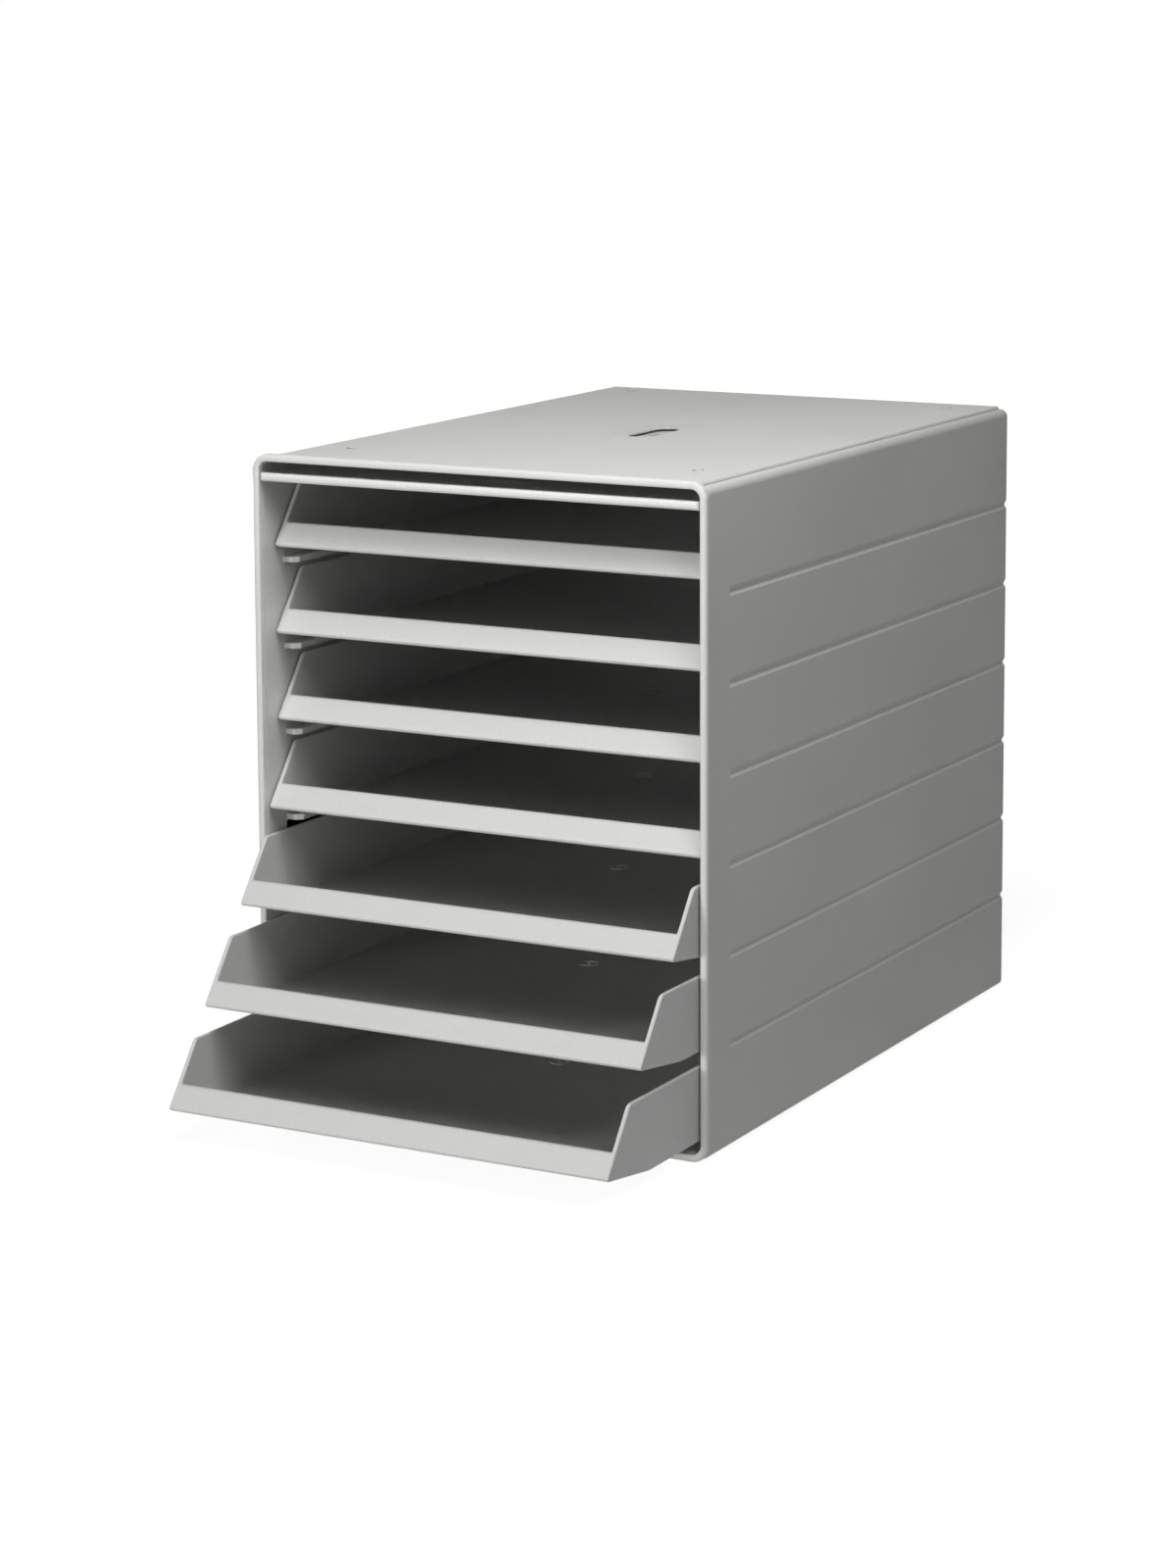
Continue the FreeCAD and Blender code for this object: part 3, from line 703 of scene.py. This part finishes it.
class ORGANIZER_OT_marks(bpy.types.Operator):
    """Round gate marks on the floor of each tray"""

    bl_idname = "organizer.marks"
    bl_label = "Gate marks"

    def execute(self, context):
        scene = context.scene
        marks = scene.organizer_marks
        plastic = tray_material(scene.organizer_finish)
        for number in range(1, TRAYS + 1):
            node = "drawer_%d" % number
            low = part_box(node)[0]
            values = {
                "Count": marks.count, "Start": (0.0, low.y + marks.first, low.z + TRAY_FLOOR),
                "Step": marks.step, "Ring": marks.ring, "Bead": marks.bead, "Material": plastic,
            }
            piece = grown("gate_marks_%d" % number, gate_mark_tree(), values)
            dress(piece, node, "tray_plastic")
        return {"FINISHED"}


class ORGANIZER_OT_pads(bpy.types.Operator):
    """Anti-slip pads under the case, with ridges"""

    bl_idname = "organizer.pads"
    bl_label = "Foot pads"

    def execute(self, context):
        scene = context.scene
        rubber = pad_material(scene.organizer_finish)
        width = scene.organizer_shell.pad_edge
        for end in ("front", "rear"):
            for side in ("left", "right"):
                node = "foot_pad_%s_%s" % (end, side)
                pad = soft_edged(node, "pad_%s_%s" % (end, side), width, rubber)
                dress(pad, "case", "foot_rubber", node)
        low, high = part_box("foot_pad_front_right")
        rear_low, rear_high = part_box("foot_pad_rear_right")
        bead = 0.35 * MM
        values = {
            "Across": (low.x + high.x) / 2, "Front": (low.y + high.y) / 2,
            "Rear": (rear_low.y + rear_high.y) / 2, "Height": low.z + bead,
            "Radius": (high.x - low.x) / 2, "Bead": bead, "Material": rubber,
        }
        dress(grown("pad_ridges", pad_ridge_tree(), values), "case", "foot_rubber")
        return {"FINISHED"}


# Stage: floor, lamps, sky and camera
def seen_directly(tree):
    """One for a surface seen by the camera, in a reflection or through glass, and nought otherwise."""
    path = add_node(tree, "ShaderNodeLightPath").outputs
    seen = math_node(tree, "ADD", path["Is Camera Ray"], path["Is Glossy Ray"], clamp=True)
    return math_node(tree, "ADD", seen, path["Is Transmission Ray"], clamp=True)


def make_floor(tone):
    """A wide pale floor that keeps the object's soft shadow and fades to white far away."""
    mesh = bpy.data.meshes.new("floor")
    reach = 12.0
    corners = [(-reach, -reach, 0), (reach, -reach, 0), (reach, reach, 0), (-reach, reach, 0)]
    mesh.from_pydata(corners, [], [(0, 1, 2, 3)])
    floor = bpy.data.objects.new("floor", mesh)
    bpy.context.scene.collection.objects.link(floor)
    paint = bpy.data.materials.new("Pale floor")
    paint.use_nodes = True
    tree = paint.node_tree
    shader = tree.nodes["Principled BSDF"]
    shader.inputs["Base Color"].default_value = (tone, tone, tone, 1.0)
    shader.inputs["Roughness"].default_value = 0.9
    shader.inputs["Specular IOR Level"].default_value = 0.1
    away = add_node(tree, "ShaderNodeVectorMath", operation="LENGTH")
    wire(tree, add_node(tree, "ShaderNodeTexCoord").outputs["Object"], away.inputs[0])
    near, far, near_glow = 0.5, 2.5, 0.9
    level = remap(tree, away.outputs["Value"], near, far, near_glow, 1.0)
    glow = add_node(tree, "ShaderNodeEmission")
    wire(tree, math_node(tree, "MULTIPLY", level, seen_directly(tree)), glow.inputs["Strength"])
    both = add_node(tree, "ShaderNodeAddShader")
    wire(tree, shader.outputs[0], both.inputs[0])
    wire(tree, glow.outputs[0], both.inputs[1])
    wire(tree, both.outputs[0], tree.nodes["Material Output"].inputs["Surface"])
    mesh.materials.append(paint)


def make_lamp(name, place, size, power):
    """A soft square lamp pointed at the object, itself out of the picture."""
    lamp = bpy.data.lights.new(name, "AREA")
    lamp.shape = "SQUARE"
    lamp.size = size
    lamp.energy = power
    made = bpy.data.objects.new(name, lamp)
    made.location = place
    made.rotation_euler = (Vector(LAMP_AIM) - Vector(place)).to_track_quat("-Z", "Y").to_euler()
    made.visible_camera = False
    bpy.context.scene.collection.objects.link(made)


def make_sky(strength):
    """Even surrounding light, white to the eye."""
    world = bpy.data.worlds.new("Studio")
    world.use_nodes = True
    bpy.context.scene.world = world
    tree = world.node_tree
    level = remap(tree, seen_directly(tree), 0.0, 1.0, strength, 1.0)
    wire(tree, level, tree.nodes["Background"].inputs["Strength"])
    tree.nodes["Background"].inputs["Color"].default_value = (1.0, 1.0, 1.0, 1.0)


def make_camera():
    """The photograph's viewpoint: front right, a little above."""
    angles = (CAMERA_AZIMUTH, CAMERA_ELEVATION, CAMERA_ROLL)
    azimuth, elevation, roll = (math.radians(angle) for angle in angles)
    level = math.cos(elevation)
    forward = Vector((-math.sin(azimuth) * level, math.cos(azimuth) * level, -math.sin(elevation)))
    right = forward.cross(Vector((0, 0, 1))).normalized()
    up = right.cross(forward)
    across = right * math.cos(roll) + up * math.sin(roll)
    above = up * math.cos(roll) - right * math.sin(roll)
    turn = Matrix((across, above, -forward)).transposed().to_4x4()
    lens = bpy.data.cameras.new("camera")
    lens.sensor_width = SENSOR
    lens.lens = FOCAL_LENGTH / FRAME_TALL * SENSOR
    lens.shift_y = (OPTICAL_CENTRE - FRAME_TALL / 2) / FRAME_TALL
    camera = bpy.data.objects.new("camera", lens)
    camera.matrix_world = Matrix.Translation(CAMERA_PLACE) @ turn
    bpy.context.scene.collection.objects.link(camera)
    bpy.context.scene.camera = camera


class ORGANIZER_OT_stage(bpy.types.Operator):
    """Floor, lamps, sky and camera"""

    bl_idname = "organizer.stage"
    bl_label = "Stage"

    def execute(self, context):
        look = context.scene.organizer_stage
        make_floor(look.floor_tone)
        make_sky(look.sky)
        for name, place, size in LAMPS:
            make_lamp(name, place, size, getattr(look, name + "_power"))
        make_camera()
        context.scene.view_settings.view_transform = "Standard"
        return {"FINISHED"}


class ORGANIZER_PT_panel(bpy.types.Panel):
    """Lists the organizer's pieces and settings"""

    bl_label = "Drawer organizer"
    bl_idname = "ORGANIZER_PT_panel"
    bl_space_type = "VIEW_3D"
    bl_region_type = "UI"
    bl_category = "Organizer"

    def draw(self, context):
        scene = context.scene
        for title, group, _ in SETTINGS:
            box = self.layout.box()
            box.label(text=title)
            settings = getattr(scene, group)
            for name in settings.bl_rna.properties.keys():
                if name not in ("rna_type", "name"):
                    box.prop(settings, name)
        for step in STEPS:
            self.layout.operator(step.bl_idname)


SETTINGS = (
    ("Edges", "organizer_shell", ShellSettings),
    ("Gate marks", "organizer_marks", MarkSettings),
    ("Finish", "organizer_finish", FinishSettings),
    ("Stage", "organizer_stage", StageSettings),
)
STEPS = (
    ORGANIZER_OT_case, ORGANIZER_OT_rim, ORGANIZER_OT_flap, ORGANIZER_OT_trays,
    ORGANIZER_OT_marks, ORGANIZER_OT_pads, ORGANIZER_OT_stage,
)
CLASSES = (*(kind for _, _, kind in SETTINGS), *STEPS, ORGANIZER_PT_panel)


def register():
    """Register the classes and hang the settings on the scene."""
    for item in CLASSES:
        bpy.utils.register_class(item)
    for _, group, kind in SETTINGS:
        setattr(bpy.types.Scene, group, PointerProperty(type=kind))


def unregister():
    """Take the settings and the classes away again."""
    for _, group, _ in SETTINGS:
        delattr(bpy.types.Scene, group)
    for item in reversed(CLASSES):
        bpy.utils.unregister_class(item)


def main():
    """Register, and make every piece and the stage."""
    register()
    for step in (
        bpy.ops.organizer.case, bpy.ops.organizer.rim, bpy.ops.organizer.flap, bpy.ops.organizer.trays,
        bpy.ops.organizer.marks, bpy.ops.organizer.pads, bpy.ops.organizer.stage,
    ):
        step()


if __name__ == "__main__":
    main()
